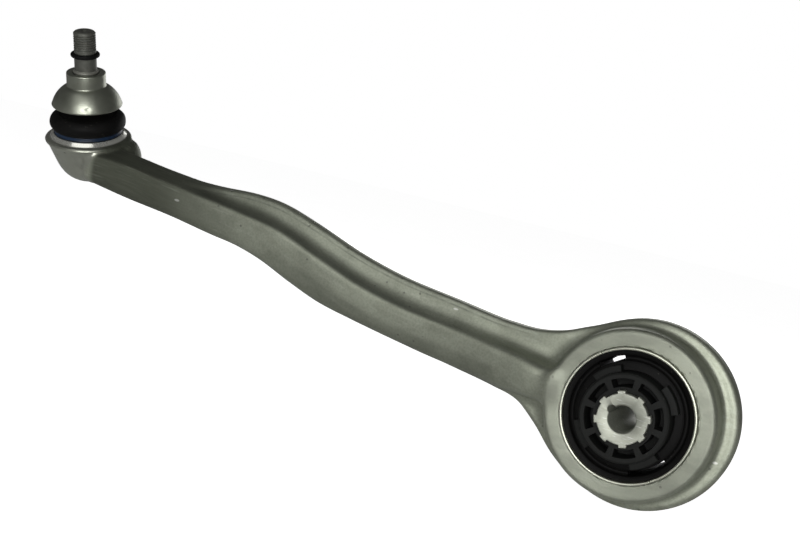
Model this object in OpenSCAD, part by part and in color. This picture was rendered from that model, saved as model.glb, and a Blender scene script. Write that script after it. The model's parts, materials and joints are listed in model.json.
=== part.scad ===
// Forged lower control arm with a ball joint at one end and a rubber bush at the other.
// The origin is the centre of the bush. Y runs along the bush bolt, and +Z is up.
// The arm runs towards -X, and the ball stud stands up and leans towards -Y.

/* [Arm] */
// Distance from the bush axis to the ball centre along X
reach_x = 390; // [386:1:394]
// Offset of the ball centre along the bush axis
ball_y = 11.5; // [9:0.5:14]
// Height of the ball centre above the bush axis
ball_z = 65.3; // [63:0.1:68]
// Lean of the ball stud towards -Y, in degrees
stud_lean = 23.4; // [20:0.1:26]
// Half thickness of the thin forged flange along the bar's upper edge
flange_t = 6; // [5:0.5:7]
// Half thickness of the heavy spine in the middle of the bar
spine_t = 13; // [12:0.5:14]

/* [Bush eye] */
// Radius of the bore that the bush is pressed into
eye_bore_r = 36.5; // [36:0.5:37]
// Outer radius of the machined boss face around the bore
boss_r = 46; // [45:0.5:47]
// Half width of the boss along the bush axis
boss_half = 25; // [24:0.5:26]
// Outer radius of the flange around the eye
eye_flange_r = 52; // [51:0.5:53]
// How far the flange's centre sits beyond the bush axis
eye_flange_x = 4; // [3:0.5:5]

/* [Bush] */
// Half length of the outer sleeve
sleeve_half = 27; // [26.5:0.5:28]
// Wall of the outer sleeve
sleeve_wall = 1.5; // [1:0.25:2]
// Half length of the rubber
rubber_half = 23; // [20:1:24]
// Half length of the core
core_half = 40; // [38:1:42]
// Radius of the core between its teeth
core_r = 13.5; // [13:0.1:14]
// Radius over the core's teeth
core_tooth_r = 14.9; // [14.5:0.1:15.5]
// Width of one core tooth
core_tooth_w = 4; // [3:0.5:5]
// Radius of the bolt hole
bolt_hole_r = 7.1; // [7.05:0.05:7.25]
// Radius of the moulded stop
stop_r = 24; // [23.5:0.5:24.5]
// Radius over the stop's four lugs
stop_lug_r = 27.5; // [26:0.5:28]

/* [Ball joint] */
// Radius of the ball
ball_r = 12.5; // [12.4:0.1:12.6]
// Radius of the stud's thread and shank
thread_r = 7; // [6.9:0.1:7.1]
// Radius of the stud where the boot's neck runs on it
seal_r = 9; // [8.8:0.1:9.2]
// Outer radius of the housing's rolled rim
rim_r = 27.6; // [27:0.2:28]
// Largest radius of the boot
boot_r = 24.2; // [23.6:0.2:24.6]
// Radius of the bell's lower edge
bell_r = 22.4; // [22:0.2:23]
// Radius of the bell's seat
bell_seat_r = 12.4; // [12:0.1:13]

/* [Hidden] */

$fn = 96;
eps = 0.01;

// Heights above the ball centre, measured along the stud
seat_top_z = 6;
lip_top_z = 9.8;
neck_ring_z = 28.5;
bell_edge_z = 28.2;
bell_shoulder_z = 40.4;
bell_top_z = 50;
stud_shoulder_z = 38;
o_ring_z = 61.4;
thread_z = 63.4;
stud_top_z = 76.8;

// The housing's outline outside, from its flat bottom to the foot of the rolled lip
HOUSING = [[7, -24], [15, -18.6], [19.4, -12.8], [21.8, -7.2], [24, -2], [25.6, 2.2],
           [rim_r - 0.4, 4.6], [rim_r, 5.4], [rim_r - 0.4, 6.2], [rim_r - 1.4, 6.8], [24.6, 7.3]];
lip_mouth_r = 21.5;
// The shoulder behind the bar: its centre, and its half outline from the middle to the top
shoulder = [20.5, 5, -6];
SHOULDER = [[14, 0], [13.8, 4], [11.6, 9.5], [7, 13]];

// The closing ring and the seat it drops into
ring_r = 24.4;
ring_z = 3.6;
ring_hole_r = 11.8;
shell_r = 15;
shell_flange_r = 19;
shell_flange_z = 1.2;
shell_floor_z = -14.2;
ball_gap = 0.05;

// The boot: its lower lip, the groove for the clamp ring, the bulge and the neck
boot_lip_r = 21.3;
boot_groove_r = 19.4;
groove_z = [10.3, 11.9];
bulge_fat = 5.8;
bulge_z = 17;
boot_wall = 1.6;
neck_r = 11.6;
neck_z = [25.5, 31];

stud_groove_r = 6.4;
o_ring_fat = 1.4;

eye_flange_half = 7.5;
sleeve_r = eye_bore_r;
sleeve_in_r = sleeve_r - sleeve_wall;
lining = 2.5;
hub_layer = 3;
void_span = 35;
void_turn = 115;
tooth_count = 8;
tooth_turn = 15;
lug_turn = 36;
stop_face_z = 36;
lug_face_z = 31;
window_r = [16.8, 20.4];
window_span = 17;
window_depth = 10;
keyway_r = 2.2;
core_chamfer = 0.8;

// Stations along the bar, chosen by hand from the ball housing to the eye:
// [x, middle y, lowest z, lower spine edge, upper spine edge, highest z,
//  half thickness of the spine, of the lower edge and of the upper flange]
STATIONS = [
    [-378, 7, 45, 48, 59, 62, 9, 7, 6],
    [-356, 6, 41, 44, 60, 66.5, spine_t, 9, 8],
    [-330, 6, 37.5, 41, 57.5, 64, spine_t, 9, 7],
    [-302, 6, 34, 37, 54, 58.8, spine_t, 9, flange_t],
    [-280, 6, 31, 34, 51, 60, spine_t, 9, flange_t],
    [-255, 6, 27, 31, 48, 61.5, spine_t, 9, flange_t],
    [-230, 6, 19, 23, 43, 58, spine_t, 9, flange_t],
    [-205, 5.5, 11, 15, 36, 51, spine_t, 9, flange_t],
    [-180, 5, 6, 10, 28, 43.5, spine_t, 9, flange_t],
    [-155, 4.5, 1.5, 6, 21.5, 38, spine_t, 9, flange_t],
    [-125, 4, -2.5, 3, 19, 34, 14.5, 9, flange_t],
    [-95, 2.5, -4.5, 1.5, 17.5, 31, 18, 8.5, flange_t],
    [-75, 1, -8, 0, 16, 29.3, 21.5, 8, 6.5],
    [-60, 0.5, -15, -3, 14, 30, 24, 7.5, 7],
    [-45, 0, -29, -10, 12, 34.5, 24.5, 7, 7],
    [-30, 0, -43, -16, 10, 41.5, 22, 7, 7],
    [-12, 0, -48.5, -16, 10, 48, 20, 7, 7]
];

// Front half of the bar's cross-section from the bottom to the top, as [y, z] points
function half_section(s) = [
    [0, s[2]],
    [0.6 * s[7], s[2] + 0.3],
    [s[7], s[2] + 0.4 * (s[3] - s[2])],
    [0.93 * s[6], s[3]],
    [s[6], s[3] + 0.25 * (s[4] - s[3])],
    [s[6], s[4] - 2.5],
    [0.9 * s[6], s[4] - 0.3],
    [0.45 * s[6] + 0.55 * s[8], s[4] + 0.25 * (s[5] - s[4])],
    [s[8], s[4] + 0.5 * (s[5] - s[4])],
    [0.95 * s[8], s[5] - 2],
    [0.6 * s[8], s[5] - 0.3],
    [0, s[5]]
];
function section(s) = let (half = half_section(s), n = len(half)) [
    for (p = half) [s[0], s[1] - p[0], p[1]],
    for (k = [n - 2:-1:1]) [s[0], s[1] + half[k][0], half[k][1]]
];

// Closed solid from rings of points, each ring joined to the next by triangles
module loft(rings) {
    n = len(rings[0]);
    count = len(rings);
    points = [for (r = rings) for (p = r) p];
    sides = [for (i = [0:count - 2]) for (j = [0:n - 1]) let (a = i * n + j, b = i * n + (j + 1) % n)
        each [[a, b, a + n], [b, b + n, a + n]]];
    first = [for (j = [1:n - 2]) [0, j + 1, j]];
    last = [for (j = [1:n - 2]) [(count - 1) * n, (count - 1) * n + j, (count - 1) * n + j + 1]];
    polyhedron(points, concat(sides, first, last));
}

// Places its children with z along the stud, from the ball centre
module on_ball() { translate([-reach_x, ball_y, ball_z]) rotate([stud_lean, 0, 0]) children(); }
// Places its children with z along the bush axis, towards -Y, and y up
module on_bush() { rotate([90, 0, 0]) children(); }
// Points of an arc, from one angle to another
function arc(centre, r, from, to, steps) =
    [for (k = [0:steps]) let (a = from + (to - from) * k / steps) centre + r * [cos(a), sin(a)]];

module bar() { loft([for (s = STATIONS) section(s)]); }

module eye() {
    edge = 3;
    wall = [[boss_r, boss_half - 0.8], [boss_r - 0.8, boss_half]];
    translate([eye_flange_x, 0, 0]) rotate_extrude() polygon(concat(
        [[0, -eye_flange_half], [eye_flange_r - edge, -eye_flange_half]],
        arc([eye_flange_r - edge, -eye_flange_half + edge], edge, -90, 0, 3),
        arc([eye_flange_r - edge, eye_flange_half - edge], edge, 0, 90, 3),
        [[0, eye_flange_half]]));
    for (side = [0, 1]) mirror([0, 0, side]) rotate_extrude() polygon(concat(
        [[0, 0], [boss_r + 1.5, 0], [boss_r + 1.5, eye_flange_half + 1]], wall, [[0, boss_half]]));
}

module housing() {
    rotate_extrude() polygon(concat([[0, HOUSING[0][1]]], HOUSING,
        [[lip_mouth_r + 0.9, lip_top_z - 0.2], [lip_mouth_r + 0.5, lip_top_z], [0, lip_top_z]]));
    lower = [for (k = [len(SHOULDER) - 1:-1:1]) [SHOULDER[k][0], -SHOULDER[k][1]]];
    translate(shoulder) rotate_extrude() polygon(concat([[0, lower[0][1]]], lower, SHOULDER,
        [[0, -lower[0][1]]]));
}

module socket() {
    rotate_extrude() polygon([[0, shell_floor_z], [8, shell_floor_z], [shell_r, -7],
        [shell_r, shell_flange_z], [shell_flange_r, shell_flange_z], [shell_flange_r, ring_z],
        [ring_r, ring_z], [ring_r, seat_top_z], [lip_mouth_r, seat_top_z], [lip_mouth_r, lip_top_z + 1],
        [0, lip_top_z + 1]]);
}

module arm_forging() {
    color("silver") difference() {
        union() {
            bar();
            on_bush() eye();
            on_ball() housing();
        }
        on_bush() translate([0, 0, -boss_half - 1]) cylinder(r = eye_bore_r, h = 2 * boss_half + 2);
        on_ball() socket();
    }
}

module bearing_shell() {
    color("ivory") on_ball() difference() {
        rotate_extrude() polygon([[0, shell_floor_z], [8, shell_floor_z], [shell_r, -7],
            [shell_r, shell_flange_z], [shell_flange_r, shell_flange_z], [shell_flange_r, ring_z],
            [0, ring_z]]);
        sphere(ball_r + ball_gap);
    }
}

module closing_ring() {
    color("gainsboro") on_ball() rotate_extrude() polygon([[ring_hole_r + 0.6, ring_z],
        [ring_r, ring_z], [ring_r, seat_top_z - 0.1], [ring_r - 1, seat_top_z], [ring_hole_r, seat_top_z],
        [ring_hole_r, ring_z + 1]]);
}

module ball_stud() {
    chamfer = 1.4;
    dimple_r = 1.6;
    color("dimgray") on_ball() difference() {
        union() {
            sphere(ball_r);
            rotate_extrude() polygon([[0, 0], [7.2, 0], [7.2, 10.5], [6.8, 12.5], [6.8, 15],
                [seal_r, 21], [seal_r, stud_shoulder_z], [thread_r, stud_shoulder_z],
                [thread_r, o_ring_z - 1.6], [stud_groove_r, o_ring_z - 1.4],
                [stud_groove_r, o_ring_z + 1.4], [thread_r, thread_z - 0.4],
                [thread_r, stud_top_z - chamfer], [thread_r - chamfer, stud_top_z], [0, stud_top_z]]);
        }
        translate([0, 0, stud_top_z - 1.2]) cylinder(r1 = 0.4, r2 = dimple_r, h = 1.2 + eps);
    }
}

module dust_boot() {
    bulge = [boot_r - bulge_fat, bulge_z];
    outer = concat(
        [[boot_lip_r - 0.4, seat_top_z], [boot_lip_r, seat_top_z + 0.6], [boot_lip_r, lip_top_z],
         [boot_groove_r + 0.8, groove_z[0]], [boot_groove_r, groove_z[0]], [boot_groove_r, groove_z[1]],
         [boot_groove_r + 1.2, groove_z[1] + 0.1]],
        arc(bulge, bulge_fat, -54, 78, 10),
        [[16.5, 21.4], [13.6, 23.2], [neck_r, neck_z[0]], [neck_r, neck_z[1]]]);
    inner = concat(
        [[seal_r + ball_gap, neck_z[1]], [seal_r + ball_gap, 23.6], [11.5, 22.3], [15.2, 19.8]],
        arc(bulge, bulge_fat - boot_wall, 78, -62, 10),
        [[boot_groove_r - boot_wall, groove_z[1]], [boot_groove_r - boot_wall, seat_top_z]]);
    color("black") on_ball() rotate_extrude() polygon(concat(outer, inner));
}

module boot_clamp_ring() {
    color("midnightblue") on_ball() rotate_extrude() polygon([[boot_groove_r, groove_z[0]],
        [boot_groove_r + 0.7, groove_z[0]], [boot_groove_r + 1.1, groove_z[0] + 0.5],
        [boot_groove_r + 1.1, groove_z[1] - 0.5], [boot_groove_r + 0.7, groove_z[1]],
        [boot_groove_r, groove_z[1]]]);
}

module boot_neck_ring() {
    ring_fat = 0.8;
    color("slategray") on_ball() translate([0, 0, neck_ring_z])
        rotate_extrude() translate([neck_r + ball_gap + ring_fat, 0]) circle(ring_fat, $fn = 32);
}

module bell_collar() {
    color("darkgray") on_ball() rotate_extrude() polygon(concat(
        [[bell_r - 1.2, bell_edge_z - 0.4], [bell_r - 0.3, bell_edge_z], [bell_r, bell_edge_z + 0.8]],
        arc([3.4, 24.2], 19.4, 18, 56, 8),
        [[bell_seat_r, bell_shoulder_z], [bell_seat_r, bell_top_z - 0.8], [bell_seat_r - 0.8, bell_top_z],
         [thread_r + 1.5, bell_top_z], [thread_r, bell_top_z - 1.5], [thread_r, stud_shoulder_z],
         [seal_r, stud_shoulder_z], [seal_r, 36], [13.6, 35.4], [17.5, 32.4], [bell_r - 2.4, bell_edge_z]]));
}

module stud_o_ring() {
    color("black") on_ball() translate([0, 0, o_ring_z])
        rotate_extrude() translate([stud_groove_r + o_ring_fat, 0]) circle(o_ring_fat, $fn = 32);
}

// Sector of a ring, symmetric about the x axis
module ring_sector(r_in, r_out, span) {
    intersection() {
        difference() { circle(r_out); circle(r_in); }
        polygon([[0, 0], for (a = [-1, -0.5, 0, 0.5, 1]) 2 * r_out * [cos(a * span), sin(a * span)]]);
    }
}

module bush_sleeve() {
    notch = [3, 4, 1.2];
    color("lightgray") on_bush() difference() {
        translate([0, 0, -sleeve_half]) cylinder(r = sleeve_r, h = 2 * sleeve_half);
        translate([0, 0, -sleeve_half - 1]) cylinder(r = sleeve_in_r, h = 2 * sleeve_half + 2);
        for (turn = [123, -53]) rotate([0, 0, turn])
            translate([sleeve_in_r - 1, -notch[1] / 2, sleeve_half - notch[2]]) cube(notch + [1, 0, 1]);
    }
}

module bush_rubber() {
    color("black") on_bush() translate([0, 0, -rubber_half]) linear_extrude(2 * rubber_half) difference() {
        circle(sleeve_in_r);
        circle(stop_r + ball_gap);
        for (side = [0, 180]) rotate(void_turn + side)
            ring_sector(stop_r + hub_layer, sleeve_in_r - lining, void_span);
    }
}

module core_outline() {
    circle(core_r);
    for (k = [0:tooth_count - 1]) rotate(tooth_turn + k * 360 / tooth_count)
        translate([0, -core_tooth_w / 2]) square([core_tooth_r, core_tooth_w]);
}

module bush_core() {
    color("silver") on_bush() difference() {
        translate([0, 0, -core_half]) linear_extrude(2 * core_half) core_outline();
        translate([0, 0, -core_half - 1]) cylinder(r = bolt_hole_r, h = 2 * core_half + 2);
        for (end = [0, 1]) mirror([0, 0, end]) translate([0, 0, core_half - core_chamfer])
            cylinder(r1 = bolt_hole_r, r2 = bolt_hole_r + core_chamfer + eps, h = core_chamfer + eps);
        rotate([0, 0, 150]) translate([bolt_hole_r, 0, -core_half - 1])
            cylinder(r = keyway_r, h = 2 * core_half + 2, $fn = 32);
    }
}

module stop() {
    difference() {
        union() {
            cylinder(r = stop_r, h = stop_face_z - 1);
            translate([0, 0, stop_face_z - 1 - eps]) cylinder(r1 = stop_r, r2 = stop_r - 1, h = 1 + eps);
            for (k = [0:3]) rotate([0, 0, lug_turn + k * 90]) intersection() {
                translate([0, -8, rubber_half + 1]) cube([stop_lug_r, 16, lug_face_z - rubber_half - 1]);
                cylinder(r = stop_lug_r, h = lug_face_z);
            }
        }
        translate([0, 0, -1]) linear_extrude(stop_face_z + 2) core_outline();
        translate([0, 0, stop_face_z - window_depth]) linear_extrude(window_depth + 1)
            for (k = [0:tooth_count - 1]) rotate(tooth_turn + k * 360 / tooth_count)
                ring_sector(window_r[0], window_r[1], window_span);
    }
}

module front_stop() { color("darkslategray") on_bush() stop(); }
module rear_stop() { color("darkslategray") on_bush() mirror([0, 0, 1]) stop(); }

arm_forging();
bearing_shell();
closing_ring();
ball_stud();
dust_boot();
boot_clamp_ring();
boot_neck_ring();
bell_collar();
stud_o_ring();
bush_sleeve();
bush_rubber();
bush_core();
front_stop();
rear_stop();
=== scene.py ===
# %% [markdown]
# # A forged control arm
# A control arm holds a car's wheel in place fore and aft. One end is a big forged eye with a rubber
# bush pressed into it, the other is a ball joint whose threaded stud bolts to the wheel's knuckle.
# The mechanism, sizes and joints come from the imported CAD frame. This script only gives each piece
# the surface that the real one has: a forging is never made of flat plates and sharp corners, so
# most pieces are worked out again here as smooth surfaces, in the same place and at the same size.

# %% Load the frame
import json
import math

import bpy
import numpy as np
from mathutils import Matrix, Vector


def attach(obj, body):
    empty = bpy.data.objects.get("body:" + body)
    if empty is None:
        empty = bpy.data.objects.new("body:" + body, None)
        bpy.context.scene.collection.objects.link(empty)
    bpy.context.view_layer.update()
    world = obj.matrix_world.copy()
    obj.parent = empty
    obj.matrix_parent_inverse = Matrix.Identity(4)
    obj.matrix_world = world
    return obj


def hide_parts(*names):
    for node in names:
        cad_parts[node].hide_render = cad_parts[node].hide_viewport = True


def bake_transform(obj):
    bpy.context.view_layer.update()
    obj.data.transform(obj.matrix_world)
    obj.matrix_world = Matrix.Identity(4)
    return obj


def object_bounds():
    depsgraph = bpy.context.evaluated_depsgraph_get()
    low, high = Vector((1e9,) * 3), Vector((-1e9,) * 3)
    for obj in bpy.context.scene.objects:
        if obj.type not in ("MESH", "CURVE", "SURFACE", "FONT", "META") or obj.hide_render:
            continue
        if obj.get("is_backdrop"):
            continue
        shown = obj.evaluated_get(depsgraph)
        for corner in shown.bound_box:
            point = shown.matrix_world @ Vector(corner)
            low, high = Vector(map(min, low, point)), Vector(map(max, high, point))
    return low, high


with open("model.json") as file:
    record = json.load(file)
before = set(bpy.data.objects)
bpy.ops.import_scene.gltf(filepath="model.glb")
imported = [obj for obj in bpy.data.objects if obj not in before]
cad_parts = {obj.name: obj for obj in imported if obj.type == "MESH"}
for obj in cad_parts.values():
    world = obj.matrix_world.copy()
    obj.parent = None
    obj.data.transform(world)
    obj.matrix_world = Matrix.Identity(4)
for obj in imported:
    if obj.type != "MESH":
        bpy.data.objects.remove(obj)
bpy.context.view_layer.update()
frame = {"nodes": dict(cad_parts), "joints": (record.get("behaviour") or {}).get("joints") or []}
joints = {joint["name"]: joint for joint in frame["joints"]}

# %% [markdown]
# Everything below is worked out in millimetres, because that is how such a part is drawn, and only
# turned into metres when a mesh is made. Two local frames matter. The bush frame has its third axis
# along the bolt, towards the side that the stud leans to. The ball frame has its third axis along
# the stud, from the centre of the ball. Both are read from the joints, so they agree with the CAD.

# %% Units and the two local frames
MM = 0.001


def frame_from(origin, third, first=(1.0, 0.0, 0.0)):
    """Origin in millimetres and three unit axes: first, third x first, third."""
    third = np.array(third) / np.linalg.norm(third)
    first = np.array(first)
    return np.array(origin), np.array([first, np.cross(third, first), third])


BALL = frame_from(np.array(joints["stud_spin"]["pos_m"]) / MM, joints["stud_spin"]["axis"])
BUSH = frame_from([0.0, 0.0, 0.0], -np.array(joints["bush_twist"]["axis"]))


def to_local(points, local):
    """Coordinates of row points in a local frame: the offset from its origin along each axis."""
    origin, axes = local
    return (points - origin.astype(points.dtype)) @ axes.T.astype(points.dtype)


def to_row(points, local):
    """The opposite: origin plus each coordinate times its axis."""
    origin, axes = local
    return origin + points @ axes


# %% [markdown]
# A mesh is made from whole arrays. A grid of points, `rows` by `columns`, becomes quads by joining
# each point to its neighbours; a direction that closes on itself wraps round to its start.

# %% Meshes from arrays
def smooth_mesh(name, points_mm, faces, sharp_deg=40.0):
    """A Blender object from points in millimetres and quads or triangles, shaded smooth."""
    mesh = bpy.data.meshes.new(name)
    faces = faces if isinstance(faces, list) else faces.tolist()
    mesh.from_pydata((np.asarray(points_mm) * MM).tolist(), [], faces)
    piece = bpy.data.objects.new(name, mesh)
    bpy.context.scene.collection.objects.link(piece)
    mesh.shade_smooth()
    mesh.set_sharp_from_angle(angle=math.radians(sharp_deg))
    print(f"{name}: {len(mesh.vertices)} points, {len(mesh.polygons)} faces")
    return piece


def grid_faces(rows, columns, wrap_rows=False, wrap_columns=False):
    """Quads of a rows x columns grid: point (i, j) joins (i, j+1), (i+1, j+1) and (i+1, j)."""
    i = np.arange(rows if wrap_rows else rows - 1)[:, None]
    j = np.arange(columns if wrap_columns else columns - 1)[None, :]
    down, right = (i + 1) % rows, (j + 1) % columns
    quads = [i * columns + j, i * columns + right, down * columns + right, down * columns + j]
    return np.stack([q + 0 * (i + j) for q in quads], -1).reshape(-1, 4)

# %% [markdown]
# ## The forging
# The arm is hammered out of one aluminium bar in a pair of dies, so every corner has a radius and
# every wall leans a little. The bush eye, the heavy spine, the thin upper flange and the ball cup
# all flow into each other. No single grid can follow that, so the shape is first written as a
# *field*: a function that is negative inside the metal, zero on its skin and roughly the distance
# to it elsewhere. Two fields are joined with a smooth minimum, which pours a fillet into the corner
# between them, and cut with a smooth maximum, which rounds the edge.

# %% Joining and cutting fields
def join(a, b, fillet):
    """Smaller of two fields, less fillet * h * (1 - h), where h slides from 0 to 1 across the corner."""
    h = np.clip(0.5 + 0.5 * (b - a) / fillet, 0, 1)
    return b + (a - b) * h - fillet * h * (1 - h)


def cut(a, b, edge):
    """Larger of two fields, with the outer corner between them rounded the same way."""
    return -join(-a, -b, edge)


def ease(x, low, high):
    """0 below low, 1 above high, and 3t^2 - 2t^3 between."""
    t = np.clip((x - low) / (high - low), 0, 1)
    return t * t * (3 - 2 * t)


def smooth_curve(knots, values):
    """Cubic through given points: the slope at each is that of the line past its neighbours."""
    knots, values = np.array(knots, float), np.array(values, float)
    slopes = np.gradient(values, knots)

    def curve(x):
        x = np.clip(x, knots[0], knots[-1])
        k = np.clip(np.searchsorted(knots, x, side="right") - 1, 0, len(knots) - 2)
        span = knots[k + 1] - knots[k]
        t = (x - knots[k]) / span
        rise = values[k + 1] - values[k]
        a, b = slopes[k] * span - rise, rise - slopes[k + 1] * span
        return values[k] + t * rise + t * (1 - t) * (a * (1 - t) + b * t)

    return curve


# %% [markdown]
# The bar is described by lines drawn along it, as on a forging drawing: its lowest edge, the crest
# where the spine's face turns over, the ridge of the flange, and three thicknesses. Each line has a
# few stations and a cubic between them. Across the bar the section is a spine with a sloping roof,
# whose face leans back below the middle, and a slab for the flange that rises out of the roof.

# %% The bar's lines
LINES = {
    "middle": ([-380, -330, -260, -180, -100, -50, 0], [5.5, 5.6, 6, 5, 2.5, 0, 0]),
    "bottom": ([-380, -345, -310, -280, -262, -245, -220, -200, -175, -150, -120, -95, -78],
               [44, 38.9, 35.1, 30.8, 28.6, 24.6, 15.6, 9.2, 4.6, 0.9, -2.9, -4.7, -6.6]),
    "crest": ([-380, -350, -323, -292, -262, -232, -202, -172, -145, -110, -80, -58, -40],
              [61, 59.5, 56.3, 52.5, 48.9, 44.2, 34.6, 25.4, 20.4, 17.6, 15.6, 13.4, 11]),
    "rise": ([-380, -320, -280, -240, -200, -170, -140, -100, -60, -40],
             [7.6, 7.4, 9, 11, 11.5, 10.5, 8, 4.4, 1.8, 1.2]),
    "top": ([-380, -335, -301, -280, -257, -240, -212, -182, -150, -115, -80, -62, -48, -36, -20, -8],
            [52, 55, 58.6, 60.2, 61.6, 60.3, 53.3, 44, 37.1, 33, 29.3, 29.6, 33, 38.4, 45.3, 48.8]),
    "low": ([-380, -300, -200, -150, -120, -98, -80, -66, -52, -38, -26, -10],
            [58, 50, 26, 13, 6, -2, -6.4, -11.5, -22, -35.5, -43.6, -48.8]),
    "spine": ([-380, -350, -325, -280, -220, -160, -120, -95, -75, -58, -40],
              [14.4, 13.6, 13, 13.4, 13.8, 13.4, 14.6, 17.4, 20.8, 24, 24.6]),
    "flange": ([-380, -300, -220, -80, -40, -8], [6, 5.4, 5.0, 6.2, 6.8, 4.5]),
}
LINE = {name: smooth_curve(*stations) for name, stations in LINES.items()}
SPINE_END, SPINE_START, SLAB_END, SLAB_START, FACE_LEAN = -378, -40, -345, -8, 15


def bar_field(x, y, z):
    """Spine: thickness, roof, leaning lower face and bottom, cut in turn. Flange: a slab, joined on."""
    side = np.abs(y - LINE["middle"](x))
    crest, bottom, half = LINE["crest"](x), LINE["bottom"](x), LINE["spine"](x)
    rise = LINE["rise"](x)
    slope = np.hypot(rise, half)
    roof = ((side - half) * rise + (z - crest) * half) / slope
    lean = math.radians(FACE_LEAN)
    belly = 0.5 * (crest + bottom)
    lower = (side - half) * math.cos(lean) + (belly - z) * math.sin(lean)
    crest_round = 2.0 + 4.0 * ease(x, -130, -60)
    spine = cut(cut(side - half, roof, crest_round), lower, 1.5)
    spine = cut(cut(spine, bottom - z, 6.0), SPINE_END - x, 2.0)
    spine = cut(spine, x - SPINE_START, 1.0)
    slab = cut(side - LINE["flange"](x), z - LINE["top"](x), 3.0)
    slab = cut(cut(slab, LINE["low"](x) - z, 3.0), x - SLAB_START, 1.0)
    slab = cut(slab, SLAB_END - x, 4.0)
    return join(spine, slab, 2.5 + 5.5 * ease(x, -310, -240))


print("bar's height half way:", round(float(LINE["top"](-200) - LINE["bottom"](-200)), 1), "mm")


# %% [markdown]
# The eye is a thick boss with machined faces, standing out of a thinner flange whose rim is a little
# off centre. The cup under the ball is a turned shape about the stud's axis, given as a distance
# from the ball's centre for each angle below the rim, with a rounded shoulder behind the bar.

# %% The eye and the cup
EYE_BORE, BOSS, BOSS_HALF = 36.5, 46.0, 25.0
EYE_FLANGE, EYE_FLANGE_HALF, EYE_FLANGE_X = 52.0, 7.5, 4.0
RIM, RIM_TOP, LIP_TOP, LIP_MOUTH = 27.6, 6.3, 9.8, 21.5
SEAT, SEAT_TOP, SEAT_RADIUS = 3.6, 6.0, 24.4
SHOULDER, SHOULDER_REACH = (20.5, 5.0, -6.0), 14.2
OVAL = (9.6, -4.8, 4.6, 4.9)
CUP = smooth_curve([-90, -70, -50, -33, -18, -5, 5, 11, 20],
                   [24.4, 24.3, 23.9, 23.2, 23, 24, 25.8, 27.9, 32])
SOCKET = smooth_curve([-90, -61, -45, -25, 0, 20], [14.2, 16.3, 16.6, 16.5, 15, 15.6])


def eye_field(x, y, z):
    """Flange: rounded disc. Boss: leaning wall cut by its faces. Joined with a fillet, then bored."""
    radius = np.hypot(x, z)
    rim = np.hypot(x - EYE_FLANGE_X, z)
    disc = cut(rim - EYE_FLANGE, np.abs(y) - EYE_FLANGE_HALF, 3.5)
    wall = radius - BOSS - 0.06 * (BOSS_HALF - np.abs(y))
    boss = cut(wall, np.abs(y) - BOSS_HALF, 3.0)
    return join(disc, boss, 3.5)


def cup_field(x, y, z):
    """Cup: distance from the ball's centre less the cup's own at that angle, cut off under the rim.
    The shoulder is a ball a little taller than wide, and an oval groove marks the cup's front.
    Hollow: the lip's mouth, the ring's seat and the ball's socket."""
    local = to_local(np.stack([x, y, z], -1), BALL)
    radius = np.hypot(local[..., 0], local[..., 1])
    height = local[..., 2]
    reach = np.hypot(radius, height)
    angle = np.degrees(np.arctan2(height, radius))
    rim = height - RIM_TOP
    cup = cut(cut(reach - CUP(angle), radius - RIM + 0.3, 1.0), rim, 0.8)
    side = local - np.array(SHOULDER)
    shoulder = np.sqrt(side[..., 0] ** 2 + side[..., 1] ** 2 + (0.9 * side[..., 2]) ** 2) - SHOULDER_REACH
    shoulder = cut(shoulder, rim + 1.0, 3.0)
    oval = np.hypot((local[..., 0] - OVAL[0]) / OVAL[2], (height - OVAL[1]) / OVAL[3])
    groove = np.exp(-((oval - 1) / 0.5) ** 2) * ease(-local[..., 1], 8, 14)
    cup = join(cup, shoulder, 3.0) + 1.4 * groove
    mouth = cut(radius - LIP_MOUTH, SEAT - height, 0.3)
    seat = np.abs(height - 0.5 * (SEAT + SEAT_TOP)) - 0.5 * (SEAT_TOP - SEAT)
    seat = cut(radius - SEAT_RADIUS, seat, 0.2)
    socket = cut(reach - SOCKET(angle), height - SEAT - 1, 0.4)
    return cup, np.minimum(np.minimum(mouth, seat), socket)


def arm_field(points):
    """Everything joined, with the bush's bore and the ball's socket cut away last."""
    x, y, z = (points[..., k] for k in range(3))
    cup, hollow = cup_field(x, y, z)
    throat = 9.0 - 7.0 * ease(x, -62, -28)
    heel = 8.5 - 5.0 * ease(z, 42, 54)
    metal = join(join(eye_field(x, y, z), bar_field(x, y, z), throat), cup, heel)
    bore = EYE_BORE - np.hypot(x, z)
    return cut(cut(metal, bore, 0.8), -hollow, 0.8)


print("eye", 2 * EYE_FLANGE, "mm across; cup's equator", 2 * float(CUP(0)), "mm")


# %% [markdown]
# The skin is found with *surface nets*. The field is sampled on a fine grid of cubes. Each cube that
# the skin passes through gets one point, at the mean of the places where the field changes sign
# along its edges, and each grid edge that the skin crosses gets one quad, joining the four cubes
# round it. The points are then slid along the field's slope until the field is zero there, so the
# finished surface doesn't show the grid.

# %% Surface nets
def slope_of(field, points, step=0.05):
    """Slope of a field at each point, from its values a small step either way along each axis."""
    offsets = np.eye(3) * step
    return np.stack([(field(points + o) - field(points - o)) / (2 * step) for o in offsets], -1)


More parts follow.
